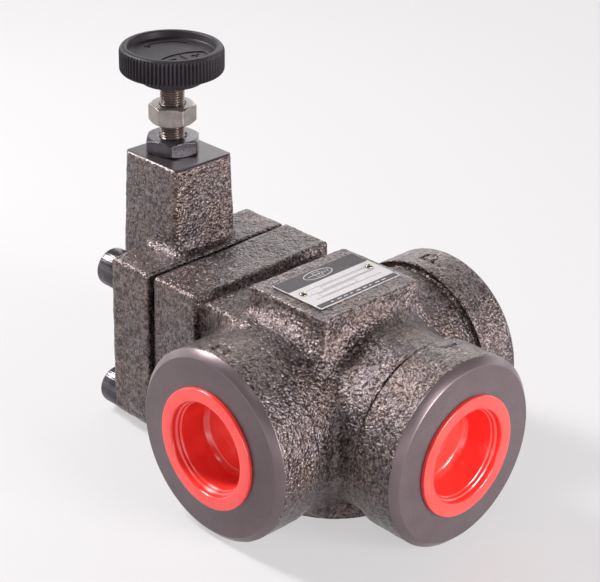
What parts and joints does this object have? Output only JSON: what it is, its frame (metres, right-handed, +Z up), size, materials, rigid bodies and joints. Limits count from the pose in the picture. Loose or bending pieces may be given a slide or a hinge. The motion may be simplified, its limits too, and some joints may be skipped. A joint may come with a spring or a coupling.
{
  "type": "pilot operated pressure control valve",
  "caption": "Threaded pressure control valve with three port bosses, a bolted pilot cover and a vertical hand adjuster.",
  "frame": {"origin": "centre of the rest face, 38 mm below the point where the axes of the three ports cross", "axes": "+X out of the tank port along the main piston, +Y out of the far pressure port, +Z up towards the knob"},
  "size_m": [0.1842, 0.1356, 0.1536],
  "materials": {
    "cast_iron": "dark phosphated sand casting, machined on the port faces",
    "black_oxide": "glossy black oxide",
    "zinc_steel": "zinc plated, satin",
    "bare_steel": "turned steel, satin",
    "spring_steel": "drawn wire, oiled",
    "seal_rubber": "moulded nitrile rubber",
    "knob_plastic": "moulded dark plastic, satin",
    "cap_plastic": "moulded red polythene, glossy",
    "plate_aluminium": "printed aluminium plate",
    "brass": "turned brass"
  },
  "bodies": {
    "valve": {"valve_body": "cast_iron", "pilot_cover": "cast_iron", "cover_screws": "black_oxide", "cover_seal_ring": "seal_rubber", "drain_seal_ring": "seal_rubber", "main_seat": "bare_steel", "pilot_seat": "bare_steel", "pilot_spring": "spring_steel", "main_spring": "spring_steel", "retainer_nut": "black_oxide", "retainer_seal": "seal_rubber", "vent_plug": "black_oxide", "vent_plug_seal": "seal_rubber", "nameplate": "plate_aluminium", "nameplate_rivets": "brass"},
    "piston": {"main_piston": "bare_steel", "damping_orifice": "brass"},
    "poppet": {"pilot_poppet": "bare_steel"},
    "plunger": {"spring_plunger": "bare_steel", "plunger_seal": "seal_rubber"},
    "adjuster": {"adjusting_screw": "bare_steel", "hand_knob": "knob_plastic", "knob_insert": "zinc_steel", "knob_set_screw": "black_oxide"},
    "nut": {"lock_nut": "zinc_steel"},
    "near_cap": {"port_cap_near": "cap_plastic"},
    "far_cap": {"port_cap_far": "cap_plastic"},
    "tank_cap": {"port_cap_tank": "cap_plastic"}
  },
  "joints": [
    {"name": "piston_lift", "type": "slide", "parent": "valve", "child": "piston", "axis": [-1, 0, 0], "range_m": [0, 0.008], "deforming": ["main_spring"]},
    {"name": "poppet_lift", "type": "slide", "parent": "valve", "child": "poppet", "axis": [0, 0, 1], "range_m": [0, 0.0015]},
    {"name": "plunger_travel", "type": "slide", "parent": "valve", "child": "plunger", "axis": [0, 0, -1], "range_m": [-0.002, 0.006], "deforming": ["pilot_spring"]},
    {"name": "knob_turn", "type": "hinge", "parent": "plunger", "child": "adjuster", "pos_m": [-0.0945, 0, 0.118], "axis": [0, 0, -1], "range_deg": [-720, 2160]},
    {"name": "nut_travel", "type": "slide", "parent": "valve", "child": "nut", "axis": [0, 0, -1], "range_m": [0, 0.006]},
    {"name": "near_cap_pull", "type": "slide", "parent": "valve", "child": "near_cap", "axis": [0, -1, 0], "range_m": [0, 0.08]},
    {"name": "far_cap_pull", "type": "slide", "parent": "valve", "child": "far_cap", "axis": [0, 1, 0], "range_m": [0, 0.08]},
    {"name": "tank_cap_pull", "type": "slide", "parent": "valve", "child": "tank_cap", "axis": [1, 0, 0], "range_m": [0, 0.08]}
  ],
  "couplings": [
    {"joint": "plunger_travel", "follows": "knob_turn", "m_per_rad": 0.00015915}
  ]
}
